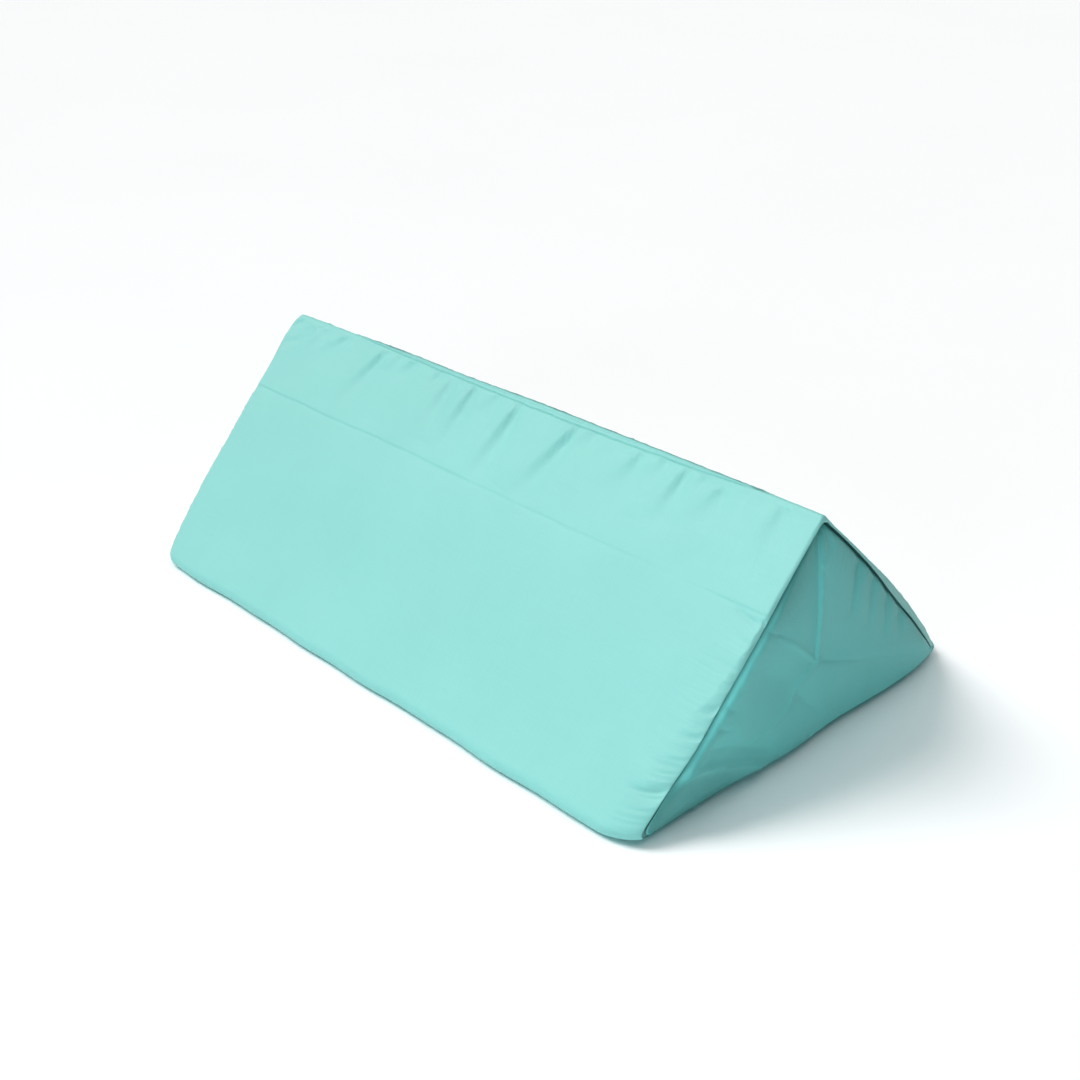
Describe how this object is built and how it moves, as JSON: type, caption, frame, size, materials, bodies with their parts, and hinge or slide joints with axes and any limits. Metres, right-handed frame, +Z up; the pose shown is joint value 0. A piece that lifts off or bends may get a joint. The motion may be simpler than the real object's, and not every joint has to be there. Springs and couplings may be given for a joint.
{
  "type": "wedge pillow",
  "caption": "Wedge-shaped bed pillow: a right-angled wedge of filling in a sewn cloth cover, with a lap along its ridge and a triangular cloth panel sewn into each end.",
  "frame": {"origin": "centre of the box's base, on the face that the pillow lies on", "axes": "+X along the ridge to the end that the picture shows, -Y toward the front slope, +Z up"},
  "size_m": [0.6151, 0.3702, 0.1892],
  "materials": {
    "wrap_cloth": "pale turquoise plain weave, smooth and matt with a faint sheen",
    "end_panel_cloth": "the same pale turquoise plain weave, a little slacker than the wrap"
  },
  "bodies": {
    "root": {"filled_wedge": "wrap_cloth", "end_panel_right": "end_panel_cloth", "end_panel_left": "end_panel_cloth"}
  },
  "joints": []
}
